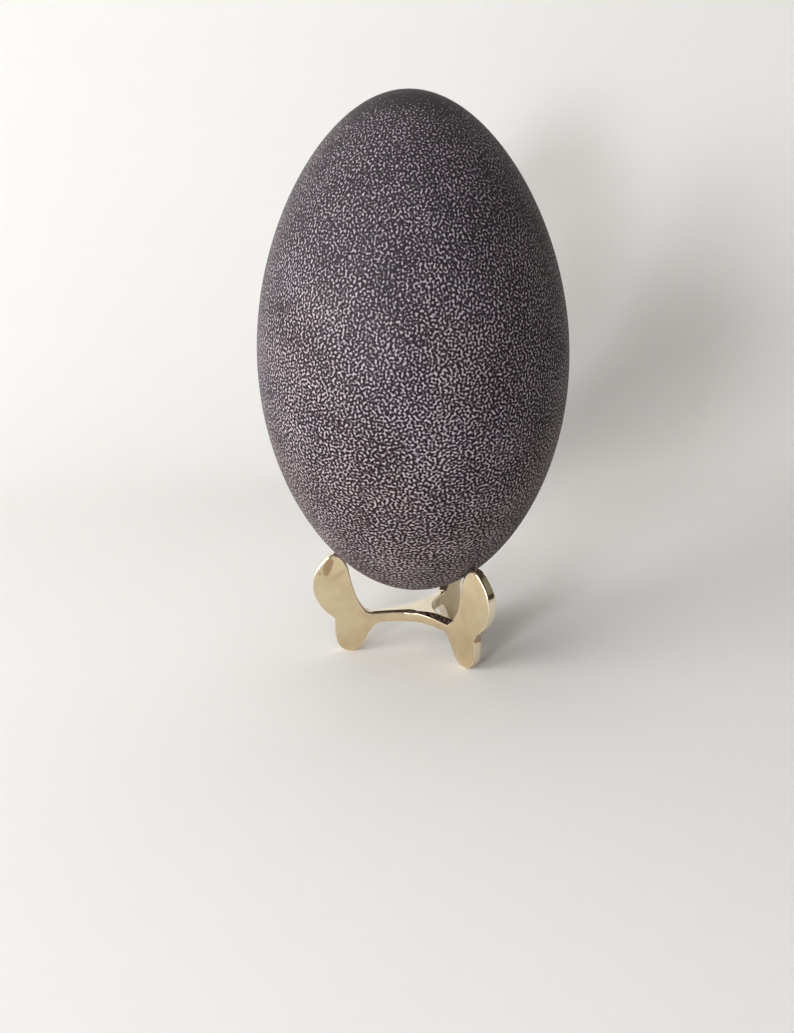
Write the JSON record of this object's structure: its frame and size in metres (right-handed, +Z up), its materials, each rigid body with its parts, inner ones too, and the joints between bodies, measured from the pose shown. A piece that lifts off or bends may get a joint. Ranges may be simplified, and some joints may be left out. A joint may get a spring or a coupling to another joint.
{
  "type": "emu egg on stand",
  "caption": "Whole dark pebbled emu egg standing upright on the raised lobes of a low cast brass stand with a Y-shaped web.",
  "frame": {"origin": "on the surface that the feet stand on, under the egg's long axis", "axes": "+Z up along the egg's long axis, -Y towards the front, the side that the picture shows"},
  "size_m": [0.0866, 0.0866, 0.1577],
  "materials": {
    "eggshell": "satin, pebbled natural shell, dark grey with pale pinkish marks",
    "brass": "polished pale cast brass"
  },
  "bodies": {
    "root": {"egg": "eggshell", "stand": "brass"}
  },
  "joints": []
}
